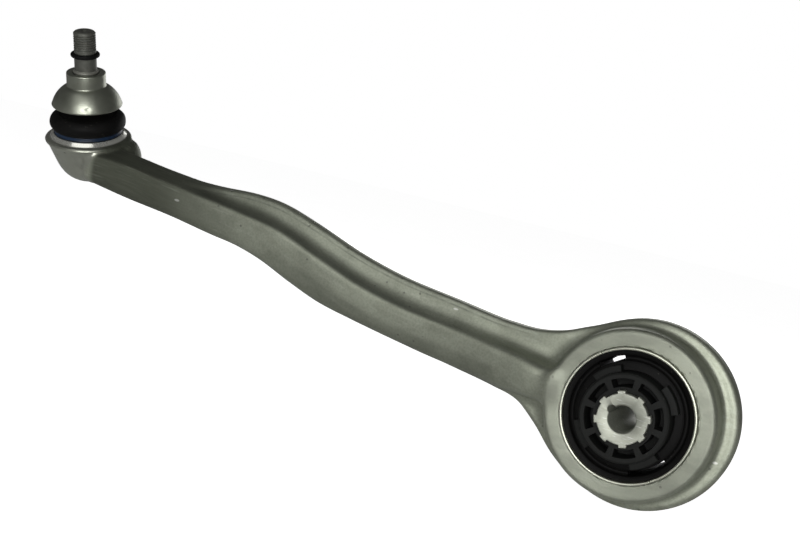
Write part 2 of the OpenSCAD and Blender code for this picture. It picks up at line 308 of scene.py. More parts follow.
def surface_nets(field, low, high, pitch):
    """Points and quads of the surface where field is zero, inside the box from low to high."""
    low = np.array(low, float)
    counts = np.ceil((np.array(high) - low) / pitch).astype(int) + 1
    axes = [low[k] + pitch * np.arange(counts[k]) for k in range(3)]
    values = field(np.stack(np.meshgrid(*axes, indexing="ij"), -1).astype(np.float32))
    inside = values < 0
    cells = tuple(counts - 1)
    total, hits = np.zeros(cells + (3,), np.float32), np.zeros(cells, np.float32)
    corner = [(a, b, c) for a in (0, 1) for b in (0, 1) for c in (0, 1)]

    def at(array, c):
        return array[c[0]:c[0] + cells[0], c[1]:c[1] + cells[1], c[2]:c[2] + cells[2]]

    for start in corner:
        for axis in range(3):
            if start[axis]:
                continue
            end = tuple(s + (k == axis) for k, s in enumerate(start))
            a, b = at(values, start), at(values, end)
            crossed = (a < 0) != (b < 0)
            share = np.where(crossed, a / np.where(crossed, a - b, 1), 0)
            for k in range(3):
                total[..., k] += np.where(crossed, start[k] + (share if k == axis else 0), 0)
            hits += crossed
    active = hits > 0
    number = np.full(cells, -1)
    number[active] = np.arange(active.sum())
    points = (np.argwhere(active) + total[active] / hits[active][:, None]) * pitch + low
    quads = []
    for axis in range(3):
        u, v = (axis + 1) % 3, (axis + 2) % 3
        ahead = np.roll(inside, -1, axis)
        edges = np.argwhere(inside != ahead)
        edges = edges[(edges[:, u] > 0) & (edges[:, v] > 0) & (edges[:, axis] < cells[axis])]
        edges = edges[(edges[:, u] < cells[u]) & (edges[:, v] < cells[v])]
        leaving = inside[tuple(edges.T)]
        ring = []
        for du, dv in ((-1, -1), (0, -1), (0, 0), (-1, 0)):
            cell = edges.copy()
            cell[:, u] += du
            cell[:, v] += dv
            ring.append(number[tuple(cell.T)])
        quad = np.stack(ring, -1)
        quads.append(np.where(leaving[:, None], quad, quad[:, ::-1]))
    return points, np.concatenate(quads)


def onto_surface(field, points, rounds=4):
    """Moves each point against the field's slope by field / slope, a few times."""
    for _ in range(rounds):
        slope = slope_of(field, points)
        points = points - field(points)[:, None] * slope / np.maximum((slope ** 2).sum(-1), 0.3)[:, None]
    return points


ARM_LOW, ARM_HIGH, GRID = [-424.4, -34.3, -57.2], [62, 42, 84], 1.2
arm_points, arm_quads = surface_nets(arm_field, ARM_LOW, ARM_HIGH, GRID)
arm_points = onto_surface(arm_field, arm_points)
arm = smooth_mesh("arm_skin", arm_points, arm_quads, sharp_deg=50)
print("forging from", np.round(arm_points.min(0), 1), "to", np.round(arm_points.max(0), 1))
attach(arm, "arm")
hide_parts("arm_forging")

# %% [markdown]
# A finish also needs to know where it is on the forging. Two numbers are stored with each point: how
# far it lies below the flange's upper edge, where the dies met, and how far below the spine's crest.

# %% Places for the finish
def store(piece, name, values):
    """A number on every point, which a material can read back by its name."""
    attribute = piece.data.attributes.new(name, "FLOAT", "POINT")
    attribute.data.foreach_set("value", np.asarray(values, np.float32))


store(arm, "below_edge", LINE["top"](arm_points[:, 0]) - arm_points[:, 2])
store(arm, "below_crest", LINE["crest"](arm_points[:, 0]) - arm_points[:, 2])
print("points with a stored place:", len(arm_points))

# %% [markdown]
# ## Turned and moulded rings
# Most of the ball joint is round about the stud, so each piece is an outline of radius and height
# carried round an axis. Sharp corners are eased by swapping each for a short curve, because a turned
# edge is always broken with a small radius, and that radius is what catches the light.

# %% Outlines
def eased(corners, radius, steps=4):
    """Outline whose corners are curves (1-t)^2 a + 2t(1-t) c + t^2 b, from a before c to b after it."""
    corners = np.array(corners, float)
    back, on = np.roll(corners, 1, 0) - corners, np.roll(corners, -1, 0) - corners
    back_length, on_length = np.linalg.norm(back, axis=1), np.linalg.norm(on, axis=1)
    reach = np.minimum(np.minimum(back_length, on_length) * 0.45, radius)
    a = corners + back * (reach / back_length)[:, None]
    b = corners + on * (reach / on_length)[:, None]
    a, c, b = a[:, None], corners[:, None], b[:, None]
    t = np.linspace(0, 1, steps)[None, :, None]
    return ((1 - t) ** 2 * a + 2 * t * (1 - t) * c + t ** 2 * b).reshape(-1, 2)


def arc(centre, radius, start, end, steps):
    """Points centre + radius * (cos a, sin a), for a from start to end in degrees."""
    a = np.radians(np.linspace(start, end, steps))
    return np.stack([centre[0] + radius * np.cos(a), centre[1] + radius * np.sin(a)], -1)


def settle(piece, body, replaces):
    """Says what a piece moves with, and hides the CAD node that it stands for."""
    if body:
        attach(piece, body)
    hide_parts(replaces)
    return piece


# %% Carrying an outline round an axis
def around(outline, columns, wave=None):
    """Grid of radius * (cos a, sin a) and height: row i is an outline point, column j an angle.
    wave gives a change of radius in millimetres for each angle and height."""
    outline = np.asarray(outline, float)
    angle = np.linspace(0, 2 * math.pi, columns, endpoint=False)[None, :]
    radius, height = outline[:, :1] + 0 * angle, outline[:, 1:] + 0 * angle
    if wave:
        radius = radius + wave(angle, height)
    return np.stack([radius * np.cos(angle), radius * np.sin(angle), height], -1)


def turned_ring(name, outline, local, columns=96, wave=None, sharp_deg=35):
    """Ring whose outline runs anticlockwise, with radius to the right and height up."""
    points = around(outline, columns, wave).reshape(-1, 3)
    faces = grid_faces(len(outline), columns, wrap_rows=True, wrap_columns=True)
    return smooth_mesh(name, to_row(points, local), faces, sharp_deg)


def turned_solid(name, outline, local, columns, wave=None, sharp_deg=35):
    """Solid of turning: the outline runs up, and each end is a fan of triangles to a point on the axis."""
    grid = around(outline, columns, wave)
    ends = np.array([[0, 0, outline[0][1]], [0, 0, outline[-1][1]]])
    points = np.concatenate([grid.reshape(-1, 3), ends])
    j, count = np.arange(columns), len(outline) * columns
    ahead = (j + 1) % columns
    first = np.stack([0 * j + count, ahead, j], -1)
    last = np.stack([0 * j + count + 1, count - columns + j, count - columns + ahead], -1)
    quads = grid_faces(len(outline), columns, wrap_columns=True)
    faces = quads.tolist() + first.tolist() + last.tolist()
    return smooth_mesh(name, to_row(points, local), faces, sharp_deg)


print("an eased square has", len(eased([(0, 0), (1, 0), (1, 1), (0, 1)], 0.1)), "points")

# %% [markdown]
# ## The ball stud
# Ball, neck, seat, shank and thread are cut from one steel bar. The thread is a real helix: the
# radius falls and rises once for each pitch of height, less the share of a turn already made. It
# fades at both ends, as a rolled thread does, and the rows are closest where the thread is.

# %% The stud
SHANK, PITCH, THREAD_DEPTH = 7.0, 1.5, 0.7
THREAD_LOW, THREAD_HIGH, STUD_TOP, O_RING_HEIGHT = 64.0, 75.7, 76.8, 61.4
BALL_RADIUS, SEAL_RADIUS, DIMPLE = 12.5, 9.0, 1.9


def thread_cut(angle, height):
    """Depth of the thread: a rounded V once a pitch, times a fade near each end, as a negative radius."""
    turn = (height - THREAD_LOW) / PITCH - angle / (2 * math.pi)
    valley = 0.5 + 0.5 * np.cos(2 * math.pi * turn)
    fade = ease(height, THREAD_LOW - 0.4, THREAD_LOW + 1.6) - ease(height, THREAD_HIGH - 0.9, THREAD_HIGH)
    return -THREAD_DEPTH * valley ** 1.3 * fade


def stud_outline():
    """Ball from its lowest point, neck, seat, shank, groove, thread and the dimple in the top."""
    ball = arc((0, 0), BALL_RADIUS, -88, 54, 40)
    neck = [(6.9, 12.2), (6.8, 15.0), (7.3, 17.2), (8.6, 20.2), (SEAL_RADIUS, 21.2), (SEAL_RADIUS, 38.0)]
    shank = [(SHANK + 0.6, 38.0), (SHANK, 38.6), (SHANK, 49.4), (SHANK + 1.0, 49.8), (SHANK + 1.1, 50.6),
             (SHANK + 0.7, 51.1), (SHANK, 51.5), (SHANK, 59.8), (6.4, 60.1), (6.4, 62.7), (SHANK, 63.0)]
    rows = np.arange(THREAD_LOW - 0.4, THREAD_HIGH, PITCH / 14)
    thread = np.stack([np.full_like(rows, SHANK), rows], -1)
    top = [(SHANK - 0.05, THREAD_HIGH), (SHANK - 0.9, STUD_TOP - 0.25), (SHANK - 1.4, STUD_TOP),
           (DIMPLE + 0.3, STUD_TOP), (DIMPLE, STUD_TOP - 0.15), (0.6, STUD_TOP - 1.3)]
    return np.concatenate([ball, neck, shank, thread, top])


stud = turned_solid("stud_threaded", stud_outline(), BALL, 120, thread_cut)
settle(stud, "stud", "ball_stud")

# %% [markdown]
# ## The bell, the rings and the closing plate
# The bell is turned from aluminium: a domed skirt that shields the boot, and a short collar that the
# knuckle sits on. A small knock near its lower edge is pressed in as a smooth hollow. The rubber
# ring, the clamp ring round the boot's foot and the spring ring at its neck are simple turned rings.

# %% The bell
BELL_EDGE, BELL_RADIUS, BELL_SEAT, BELL_TOP = 28.2, 22.4, 12.4, 50.0
KNOCK_TURN, KNOCK_HEIGHT = math.radians(-52), 31.7


def knock(angle, height):
    """A hollow 0.5 mm deep: exp(-(distance across / width)^2 - (distance up / width)^2)."""
    across = (angle + 2 * math.pi - KNOCK_TURN) % (2 * math.pi)
    across = np.minimum(across, 2 * math.pi - across) * BELL_RADIUS
    return -0.5 * np.exp(-(across / 1.3) ** 2 - ((height - KNOCK_HEIGHT) / 0.8) ** 2)


bell_corners = [(BELL_RADIUS - 2.4, BELL_EDGE + 0.2), (BELL_RADIUS - 1.2, BELL_EDGE - 0.4),
                (BELL_RADIUS - 0.2, BELL_EDGE), (BELL_RADIUS + 0.1, BELL_EDGE + 0.9)]
bell_dome = arc((3.4, 24.2), 19.4, 17, 53, 22)
bell_collar = eased([(14.6, 40.2), (BELL_SEAT + 0.1, 41.0), (BELL_SEAT, 42.4), (BELL_SEAT, BELL_TOP),
                     (8.9, BELL_TOP), (7.4, BELL_TOP - 1.6), (7.1, 38.1), (9.2, 38.0), (9.1, 36.0)], 0.8)
bell_inside = [(13.6, 35.4), (17.5, 32.4)]
bell_outline = np.concatenate([eased(bell_corners, 0.4)[2:-2], bell_dome, bell_collar[2:], bell_inside])
bell = turned_ring("bell_turned", bell_outline, BALL, 128, knock)
settle(bell, "stud", "bell_collar")


# %% The cup's rolled rim
# After the ball goes in, the cup's edge is rolled over the closing ring, which polishes it. The rim
# is part of the forging, but a turned outline keeps its thin edges crisper than the field can.
rim_corners = [(LIP_MOUTH, 4.2), (25.6, 3.4), (RIM - 0.2, 4.5), (RIM + 0.1, 5.5), (RIM - 0.7, 6.6),
               (24.7, 7.2), (22.6, 9.6), (LIP_MOUTH + 0.4, LIP_TOP), (LIP_MOUTH, LIP_TOP - 0.5)]
rim = turned_ring("cup_rim", eased(rim_corners, 0.5, 5), BALL, 160)
settle(rim, "arm", "arm_forging")


# %% Rings of the ball joint
def round_wire(radius, height, fat, steps=20):
    """Outline of a ring of round wire, of half thickness fat."""
    return arc((radius, height), fat, 0, 360 - 360 / steps, steps)


O_RING_FAT, NECK_RADIUS, NECK_RING_HEIGHT, WIRE = 1.4, 11.6, 28.5, 0.8
GROOVE_RADIUS, GROOVE = 19.4, (10.3, 11.9)
o_ring = turned_ring("stud_seal_ring", round_wire(6.4 + O_RING_FAT, O_RING_HEIGHT, O_RING_FAT), BALL, 80)
settle(o_ring, "stud", "stud_o_ring")
neck_ring = turned_ring("neck_wire", round_wire(NECK_RADIUS + WIRE, NECK_RING_HEIGHT, WIRE), BALL)
settle(neck_ring, "boot_neck", "boot_neck_ring")
clamp_outline = eased([(GROOVE_RADIUS, 9.9), (21.5, 9.9), (22.0, 10.5), (21.6, 11.0), (21.6, 11.4),
                       (22.0, 11.9), (21.7, 12.6), (GROOVE_RADIUS, 12.6)], 0.35)
clamp = turned_ring("boot_clamp", clamp_outline, BALL, 128)
settle(clamp, "arm", "boot_clamp_ring")

# %% [markdown]
# ## The dust boot
# A thin rubber bellows keeps dirt out of the joint. Its foot is clipped to the housing and its neck
# grips the stud, so it has to bend both ways. The joint is modelled as two swings, one after the
# other, so the boot is made in two pieces that meet at the bulge's widest part. Here neither piece
# is attached to a body or bent: both stay where they are made.

# %% The boot
BULGE, BULGE_FAT, BOOT_WALL, BOOT_SPLIT = (18.4, 17.0), 5.8, 1.6, 17.0
LIP_RADIUS, NECK_TOP = 21.3, 31.0


lower_outline = np.concatenate([
    eased([(GROOVE_RADIUS - BOOT_WALL, SEAT_TOP), (LIP_RADIUS, SEAT_TOP), (LIP_RADIUS, GROOVE[0] - 0.3),
           (GROOVE_RADIUS, GROOVE[0] - 0.1), (GROOVE_RADIUS, GROOVE[1] + 0.1)], 0.35),
    arc(BULGE, BULGE_FAT, -60, 0, 16), arc(BULGE, BULGE_FAT - BOOT_WALL, 0, -68, 16)])
upper_outline = np.concatenate([
    arc(BULGE, BULGE_FAT, 0, 84, 20),
    eased([(17.6, 22.0), (14.6, 22.7), (12.2, 24.4), (NECK_RADIUS, 26.4), (NECK_RADIUS, NECK_TOP),
           (SEAL_RADIUS + 0.1, NECK_TOP), (SEAL_RADIUS + 0.1, 23.8), (11.5, 22.0), (15.6, 20.2)], 0.7),
    arc(BULGE, BULGE_FAT - BOOT_WALL, 84, 0, 18)])


def flow_lines(angle, height):
    """Faint uneven pull of the rubber round the bulge, a tenth of a millimetre in or out."""
    share = np.sin(math.pi * np.clip((height - 10.6) / 12.6, 0, 1))
    return 0.10 * share * (np.sin(3 * angle + 0.9 * height) + 0.6 * np.sin(7 * angle - 0.5 * height))


boot_lower = turned_ring("boot_lower", lower_outline, BALL, 128, flow_lines)
boot_upper = turned_ring("boot_upper", upper_outline, BALL, 128, flow_lines)
settle(boot_lower, None, "dust_boot")
settle(boot_upper, None, "dust_boot")
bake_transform(boot_lower)
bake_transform(boot_upper)

# %% [markdown]
# ## The bush
# The bush is an aluminium sleeve pressed into the eye, with rubber moulded between it and a toothed
# aluminium core. The rubber isn't a full ring: two kidney-shaped openings leave two thick legs, so
# the bush is stiff one way and soft the other. Moulded stops on the core limit how far it can move.

# %% The sleeve
SLEEVE, SLEEVE_IN, SLEEVE_HALF = 36.5, 35.0, 27.0
NOTCH_TURNS, NOTCH_HALF, NOTCH_DEPTH = (123, -53), 2.0, 1.2


def near_turn(angle, turns, half):
    """1 within half a width of any of the given angles and 0 elsewhere, with a short slope between."""
    gap = np.stack([np.abs((angle - math.radians(t) + math.pi) % (2 * math.pi) - math.pi) for t in turns])
    return 1 - ease(gap.min(0), half, half + math.radians(0.25))


def swept_ring(name, rows, columns, sharp_deg=35):
    """Ring about the bush's axis from rows of (radius, height), each a number or an array over the angle.
    The rows run anticlockwise round the section, with radius to the right and height up."""
    angle = np.linspace(0, 2 * math.pi, columns, endpoint=False)
    radius = np.stack([row[0] + 0 * angle for row in rows])
    height = np.stack([row[1] + 0 * angle for row in rows])
    points = np.stack([radius * np.cos(angle), radius * np.sin(angle), height], -1).reshape(-1, 3)
    faces = grid_faces(len(rows), columns, wrap_rows=True, wrap_columns=True)
    return smooth_mesh(name, to_row(points, BUSH), faces, sharp_deg)


turn = np.linspace(0, 2 * math.pi, 720, endpoint=False)
lip_height = SLEEVE_HALF - NOTCH_DEPTH * near_turn(turn, NOTCH_TURNS, NOTCH_HALF / SLEEVE_IN)
sleeve_rows = [(SLEEVE_IN, -SLEEVE_HALF + 0.4), (SLEEVE_IN + 0.4, -SLEEVE_HALF),
               (SLEEVE - 0.5, -SLEEVE_HALF), (SLEEVE, -SLEEVE_HALF + 0.5), (SLEEVE, lip_height - 0.6),
               (SLEEVE - 0.2, lip_height - 0.15), (SLEEVE - 0.6, lip_height),
               (SLEEVE_IN + 0.5, lip_height), (SLEEVE_IN + 0.1, lip_height - 0.2),
               (SLEEVE_IN, lip_height - 0.6)]
sleeve = swept_ring("sleeve_pressed", sleeve_rows, len(turn))
settle(sleeve, "arm", "bush_sleeve")

# %% [markdown]
# The rubber is bonded to both sides, so when the core turns the rubber shears: what touches the core
# goes with it, and what touches the sleeve stays. The lining rides on the arm and the hub on the
# core. Each leg between them is cut into narrow sectors, but the sectors are not attached to either
# body and don't bend: they stay where they are made.

# %% The rubber
RUBBER_HALF, LINING_IN, STOP, HUB = 23.0, 31.9, 24.0, 29.3
VOIDS = ((108, 136), (283, 323))
SECTORS = 5
lining_outline = eased([(LINING_IN, -RUBBER_HALF + 0.6), (SLEEVE_IN, -RUBBER_HALF - 0.6),
                        (SLEEVE_IN, RUBBER_HALF + 0.6), (LINING_IN, RUBBER_HALF - 0.6)], 0.8)
lining = turned_ring("rubber_lining", lining_outline, BUSH, 160)
settle(lining, "arm", "bush_rubber")
hub_outline = eased([(STOP + 0.05, -RUBBER_HALF), (HUB, -RUBBER_HALF + 1.2), (HUB, RUBBER_HALF - 1.2),
                     (STOP + 0.05, RUBBER_HALF)], 0.8)
hub = turned_ring("rubber_hub", hub_outline, BUSH, 160)
settle(hub, "core", "bush_rubber")


def leg_sector(name, start, end):
    """Sector of a leg between two angles: its faces sag as 1 - (2u - 1)^2 between hub and lining."""
    u, v = np.meshgrid(np.linspace(0, 1, 12), np.linspace(0, 1, 14), indexing="ij")
    radius = HUB - 1.0 + (LINING_IN + 0.8 - HUB + 1.0) * u
    angle = np.radians(start + (end - start) * v)
    half = RUBBER_HALF - 0.8 - 2.6 * (1 - (2 * u - 1) ** 2)
    face = [np.stack([radius * np.cos(angle), radius * np.sin(angle), side * half], -1) for side in (1, -1)]
    rows, columns = u.shape
    front = grid_faces(rows, columns)
    index = np.arange(rows * columns).reshape(rows, columns)
    rim = np.concatenate([index[0, :-1], index[:-1, -1], index[-1, :0:-1], index[:0:-1, 0]])
    ahead = np.roll(rim, -1)
    count = rows * columns
    walls = np.stack([rim, ahead, ahead + count, rim + count], -1)
    faces = np.concatenate([front[:, ::-1], front + count, walls])
    return smooth_mesh(name, to_row(np.concatenate([f.reshape(-1, 3) for f in face]), BUSH), faces, 35)


def bend_outwards(piece):
    """Bakes the sector's placing into its points; it doesn't bend the sector."""
    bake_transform(piece)


legs = []
for leg, (start, end) in enumerate(((VOIDS[1][1] - 360, VOIDS[0][0]), (VOIDS[0][1], VOIDS[1][0]))):
    edges = np.linspace(start, end, SECTORS + 1)
    for k, (a, b) in enumerate(zip(edges[:-1], edges[1:])):
        sector = settle(leg_sector(f"rubber_leg_{leg}_{k}", a, b), None, "bush_rubber")
        bend_outwards(sector)
        legs.append(sector)

# %% [markdown]
# The core's outline is a circle with eight short teeth that key it to the stops, and its bolt hole
# has a half-round keyway. Both are radii worked out for every angle round the axis, so one swept
# ring makes the whole core, with a small chamfer at each edge.

# %% The core
CORE_HALF, CORE, TOOTH, TOOTH_HALF = 40.0, 13.5, 14.9, 2.0
BOLT_HOLE, KEYWAY, KEYWAY_TURN, CORE_EDGE = 7.1, 2.2, 150, 0.35
TOOTH_TURNS = [15 + 45 * k for k in range(8)]


def keyed_hole(angle):
    """Bolt hole's radius R, or R cos d + sqrt(k^2 - R^2 sin^2 d) where the keyway reaches further."""
    d = (angle - math.radians(KEYWAY_TURN) + math.pi) % (2 * math.pi) - math.pi
    inside = KEYWAY ** 2 - (BOLT_HOLE * np.sin(d)) ** 2
    reach = BOLT_HOLE * np.cos(d) + np.sqrt(np.maximum(inside, 0))
    return np.maximum(BOLT_HOLE, np.where((inside > 0) & (np.cos(d) > 0), reach, 0))


turn = np.linspace(0, 2 * math.pi, 1080, endpoint=False)
toothed = CORE + (TOOTH - CORE) * near_turn(turn, TOOTH_TURNS, TOOTH_HALF / TOOTH)
hole = keyed_hole(turn)
core_rows = [(hole, -CORE_HALF + 0.8), (hole + 0.8, -CORE_HALF), (toothed - CORE_EDGE, -CORE_HALF),
             (toothed, -CORE_HALF + CORE_EDGE), (toothed, CORE_HALF - CORE_EDGE),
             (toothed - CORE_EDGE, CORE_HALF), (hole + 0.8, CORE_HALF),
             (hole + 0.45, CORE_HALF - 0.15), (hole, CORE_HALF - 0.8)]
core = swept_ring("core_toothed", core_rows, len(turn))
settle(core, "core", "bush_core")

# %% [markdown]
# Each stop is a thick moulded ring round the core. Its face has eight pockets, one opposite each
# tooth, and four lugs stand out of its side. The face is a grid of angle and radius whose height
# drops inside a pocket, so the pocket's walls and rounded edges come from the same formula.

# %% The stops
STOP_FACE, POCKET, POCKET_HALF, POCKET_DEPTH = 36.0, (16.6, 20.6), 17.0, 14.0
LUG, LUG_HALF, LUG_LOW, LUG_HIGH, LUG_TURNS = 27.5, 8.0, 24.0, 31.0, [36 + 90 * k for k in range(4)]


def stop_mesh(name, side):
    """Rows of (radius, height) up the lugged side, in over the pocketed face and down the core."""
    angle = np.linspace(0, 2 * math.pi, 1080, endpoint=False)
    lugged = near_turn(angle, LUG_TURNS, LUG_HALF / LUG)
    lug = STOP + 0.02 + (LUG - STOP) * lugged
    inner = CORE + 0.05 + (TOOTH - CORE) * near_turn(angle, TOOTH_TURNS, TOOTH_HALF / TOOTH)
    pocket = near_turn(angle, TOOTH_TURNS, math.radians(POCKET_HALF))
    rows = [(inner, 0.5), (STOP, 0.5), (STOP, LUG_LOW), (lug, LUG_LOW), (lug, LUG_HIGH - 0.6),
            (lug - 0.2 * lugged, LUG_HIGH - 0.15), (lug - 0.6 * lugged, LUG_HIGH), (STOP, LUG_HIGH + 0.1),
            (STOP - 0.1, STOP_FACE - 1.4), (STOP - 0.4, STOP_FACE - 0.5), (STOP - 1.2, STOP_FACE)]
    by_wall = np.array([0.3, 0.12, 0, -0.12, -0.3])
    steps = np.concatenate([[22.0, 21.2], POCKET[1] + by_wall, [19.4, 18.0], POCKET[0] + by_wall, [15.6]])
    for radius in steps:
        past_inner, past_outer = (ease(radius, wall - 0.15, wall + 0.15) for wall in POCKET)
        rows.append((radius, STOP_FACE - POCKET_DEPTH * (past_inner - past_outer) * pocket))
    rows += [(inner + 0.3, STOP_FACE), (inner, STOP_FACE - 0.3)]
    if side < 0:
        rows = [(radius, -height) for radius, height in rows][::-1]
    return swept_ring(name, rows, 1080, 30)


front_stop = stop_mesh("stop_front_moulded", 1)
rear_stop = stop_mesh("stop_rear_moulded", -1)
settle(front_stop, "core", "front_stop")
settle(rear_stop, "core", "rear_stop")

# %% [markdown]
# ## Finishes
# A finish is a small calculation at every point of a surface, made of nodes. Written as nodes it is
# hard to read, so a node's output is wrapped in a class whose + - and * add the Math node that does it.
# Each finish below then reads like the sentence that describes it.

# %% Shader maths
class Socket:
    """A node's output. Arithmetic on it adds Math nodes, on either side of a number."""
    def __init__(self, finish, output):
        self.finish, self.output = finish, output

    def __add__(self, other):
        return self.finish.maths("ADD", self, other)

    def __sub__(self, other):
        return self.finish.maths("SUBTRACT", self, other)

    def __rsub__(self, other):
        return self.finish.maths("SUBTRACT", other, self)

    def __mul__(self, other):
        return self.finish.maths("MULTIPLY", self, other)

    __radd__, __rmul__ = __add__, __mul__


class Finish:
    """A material with its Principled shader. Whatever is the same all over goes straight on the shader."""
    def __init__(self, name, **constants):
        self.material = bpy.data.materials.new(name)
        self.material.use_nodes = True
        self.tree = self.material.node_tree
        self.shader = self.tree.nodes["Principled BSDF"]
        for socket, value in constants.items():
            self.shader.inputs[socket.replace("_", " ")].default_value = value
        self.place = self.node("ShaderNodeTexCoord", output="Object")

    def node(self, kind, settings=None, inputs=None, output=0):
        """Adds a node: its settings first, then the values or links of its sockets."""
        made = self.tree.nodes.new(kind)
        for name, value in (settings or {}).items():
            setattr(made, name, value)
        for name, value in (inputs or {}).items():
            self.feed(made.inputs[name], value)
        return Socket(self, made.outputs[output])

    def feed(self, socket, value):
        """Links an output to a socket, or sets the socket's own value."""
        if isinstance(value, Socket):
            self.tree.links.new(value.output, socket)
        else:
            socket.default_value = value

    def maths(self, operation, *values):
        """One Math node on sockets or numbers."""
        return self.node("ShaderNodeMath", {"operation": operation}, dict(enumerate(values)))

    def vary(self, **sockets):
        """Feeds what changes over the surface to the shader, such as Base_Color or Roughness."""
        for socket, value in sockets.items():
            self.feed(self.shader.inputs[socket.replace("_", " ")], value)
        return self.material


print("a finish is ready to take nodes")


# %% Patterns that the finishes share
def between(finish, value, low, high):
    """0 where value is below low, 1 above high, smooth between: a Map Range node."""
    settings = {"interpolation_type": "SMOOTHSTEP"}
    return finish.node("ShaderNodeMapRange", settings, {"Value": value, "From Min": low, "From Max": high})


def colours(finish, share, a, b):
    """Colour a where share is 0 and b where it is 1. The Mix node's colours are its sockets 6 and 7."""
    settings = {"data_type": "RGBA"}
    return finish.node("ShaderNodeMix", settings, {0: share, 6: a, 7: b}, output=2)


def grain(finish, size_mm, stretch=(1, 1, 1), turn=(0, 0, 0), detail=3.0, seed=0.0, place=None):
    """Noise from 0 to 1 whose blotches are about size_mm across, drawn out along an axis by stretch."""
    inputs = {"Vector": place or finish.place, "Location": (seed, seed, seed), "Rotation": turn,
              "Scale": tuple(1 / s for s in stretch)}
    place = finish.node("ShaderNodeMapping", {}, inputs)
    inputs = {"Vector": place, "Scale": 1 / (size_mm * MM), "Detail": detail}
    return finish.node("ShaderNodeTexNoise", {}, inputs)


def specks(finish, spacing_mm, size, seed=0.0, stretch=(1, 1, 1)):
    """1 inside small scattered dots and 0 outside: the distance to a random point of each cell."""
    inputs = {"Vector": finish.place, "Location": (seed, seed, seed),
              "Scale": tuple(1 / s for s in stretch)}
    place = finish.node("ShaderNodeMapping", {}, inputs)
    inputs = {"Vector": place, "Scale": 1 / (spacing_mm * MM)}
    cells = finish.node("ShaderNodeTexVoronoi", {}, inputs, "Distance")
    return 1 - between(finish, cells, size * 0.6, size)


def relief(finish, height, depth_mm, strength=1.0):
    """Bump of a height that runs from 0 to 1, depth_mm deep."""
    inputs = {"Height": height, "Distance": depth_mm * MM, "Strength": strength}
    return finish.node("ShaderNodeBump", {}, inputs, "Normal")


def vectors(finish, operation, *values, output=0):
    """One Vector Math node."""
    settings = {"operation": operation}
    return finish.node("ShaderNodeVectorMath", settings, dict(enumerate(values)), output)


def along(finish, local):
    """Height of a point along a local frame's third axis, in millimetres: offset . axis."""
    origin, axes = local
    offset = vectors(finish, "SUBTRACT", finish.place, tuple(origin * MM))
    return vectors(finish, "DOT_PRODUCT", offset, tuple(axes[2]), output="Value") * (1 / MM)


def away_from(finish, local):
    """Distance of a point from a local frame's third axis, in millimetres: |offset x axis|."""
    origin, axes = local
    offset = vectors(finish, "SUBTRACT", finish.place, tuple(origin * MM))
    cross = vectors(finish, "CROSS_PRODUCT", offset, tuple(axes[2]))
    return vectors(finish, "LENGTH", cross, output="Value") * (1 / MM)


def rings_of(finish, distance, pitch_mm):
    """Fine turning marks, 0 to 1, repeating every pitch_mm of a distance."""
    return finish.maths("SINE", distance * (2 * math.pi / pitch_mm)) * 0.5 + 0.5


print("patterns: grain, specks, turning marks")
